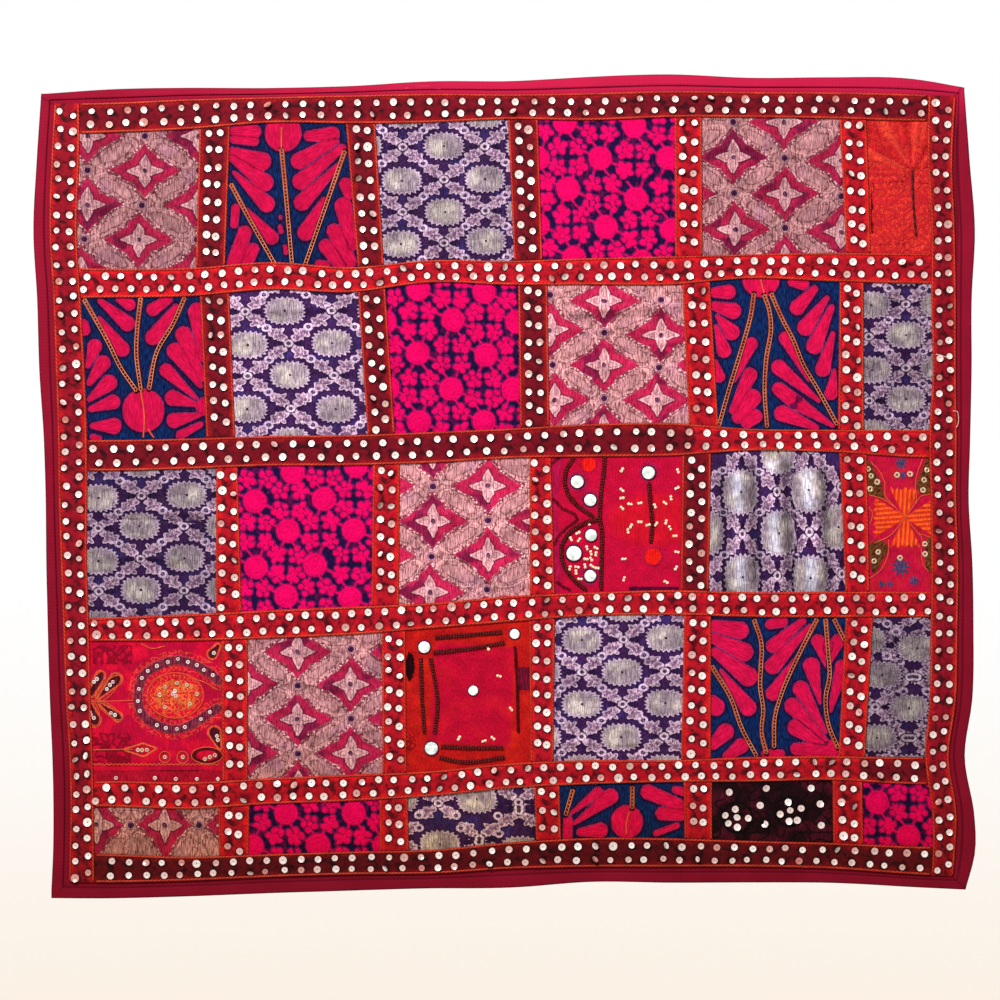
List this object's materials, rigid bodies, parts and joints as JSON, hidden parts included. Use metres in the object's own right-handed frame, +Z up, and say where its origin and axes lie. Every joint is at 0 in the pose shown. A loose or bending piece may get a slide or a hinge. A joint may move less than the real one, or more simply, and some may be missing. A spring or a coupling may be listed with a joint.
{
  "type": "patchwork wall hanging",
  "caption": "Hung patchwork textile: embroidered and brocade patches on a crimson ground cloth, divided by sequinned embroidered trims, with a plain turned hem.",
  "frame": {"origin": "middle of the top edge, on the wall side", "axes": "+X to the right along the width as seen from the front, +Y into the wall, +Z up; the face looks along -Y"},
  "size_m": [0.941, 0.0097, 0.824],
  "materials": {
    "ground_cotton": "plain woven cotton, matt",
    "rose_brocade": "brocade with metal-look thread, soft sheen",
    "blue_embroidery": "satin-stitched cotton, low sheen",
    "purple_brocade": "brocade with silver-grey thread, soft sheen",
    "pink_embroidery": "dense silk embroidery, low sheen",
    "red_embroidery": "embroidered cotton, low sheen",
    "crimson_beadwork": "crepe with beads and small mirrors",
    "maroon_sequin": "dark crepe with silver sequins",
    "trim_bright": "bright red stitched ribbon with sequins",
    "trim_deep": "deep maroon stitched ribbon with sequins"
  },
  "bodies": {
    "root": {"ground_cloth": "ground_cotton", "patch_r1_c1": "rose_brocade", "patch_r1_c2": "blue_embroidery", "patch_r1_c3": "purple_brocade", "patch_r1_c4": "pink_embroidery", "patch_r1_c5": "rose_brocade", "patch_r1_c6": "red_embroidery", "patch_r2_c1": "blue_embroidery", "patch_r2_c2": "purple_brocade", "patch_r2_c3": "pink_embroidery", "patch_r2_c4": "rose_brocade", "patch_r2_c5": "blue_embroidery", "patch_r2_c6": "purple_brocade", "patch_r3_c1": "purple_brocade", "patch_r3_c2": "pink_embroidery", "patch_r3_c3": "rose_brocade", "patch_r3_c4": "crimson_beadwork", "patch_r3_c5": "purple_brocade", "patch_r3_c6": "crimson_beadwork", "patch_r4_c1": "red_embroidery", "patch_r4_c2": "rose_brocade", "patch_r4_c3": "red_embroidery", "patch_r4_c4": "purple_brocade", "patch_r4_c5": "blue_embroidery", "patch_r4_c6": "purple_brocade", "patch_r5_c1": "rose_brocade", "patch_r5_c2": "pink_embroidery", "patch_r5_c3": "purple_brocade", "patch_r5_c4": "blue_embroidery", "patch_r5_c5": "maroon_sequin", "patch_r5_c6": "pink_embroidery", "band_1": "trim_deep", "band_2": "trim_bright", "band_3": "trim_deep", "band_4": "trim_bright", "band_5": "trim_bright", "band_6": "trim_deep", "side_trim_left": "trim_bright", "side_trim_right": "trim_bright", "short_trim_r1_1": "trim_deep", "short_trim_r1_2": "trim_deep", "short_trim_r1_3": "trim_deep", "short_trim_r1_4": "trim_bright", "short_trim_r1_5": "trim_bright", "short_trim_r2_1": "trim_deep", "short_trim_r2_2": "trim_deep", "short_trim_r2_3": "trim_deep", "short_trim_r2_4": "trim_bright", "short_trim_r2_5": "trim_bright", "short_trim_r3_1": "trim_bright", "short_trim_r3_2": "trim_bright", "short_trim_r3_3": "trim_bright", "short_trim_r3_4": "trim_deep", "short_trim_r3_5": "trim_bright", "short_trim_r4_1": "trim_bright", "short_trim_r4_2": "trim_bright", "short_trim_r4_3": "trim_bright", "short_trim_r4_4": "trim_bright", "short_trim_r4_5": "trim_bright"}
  },
  "joints": []
}
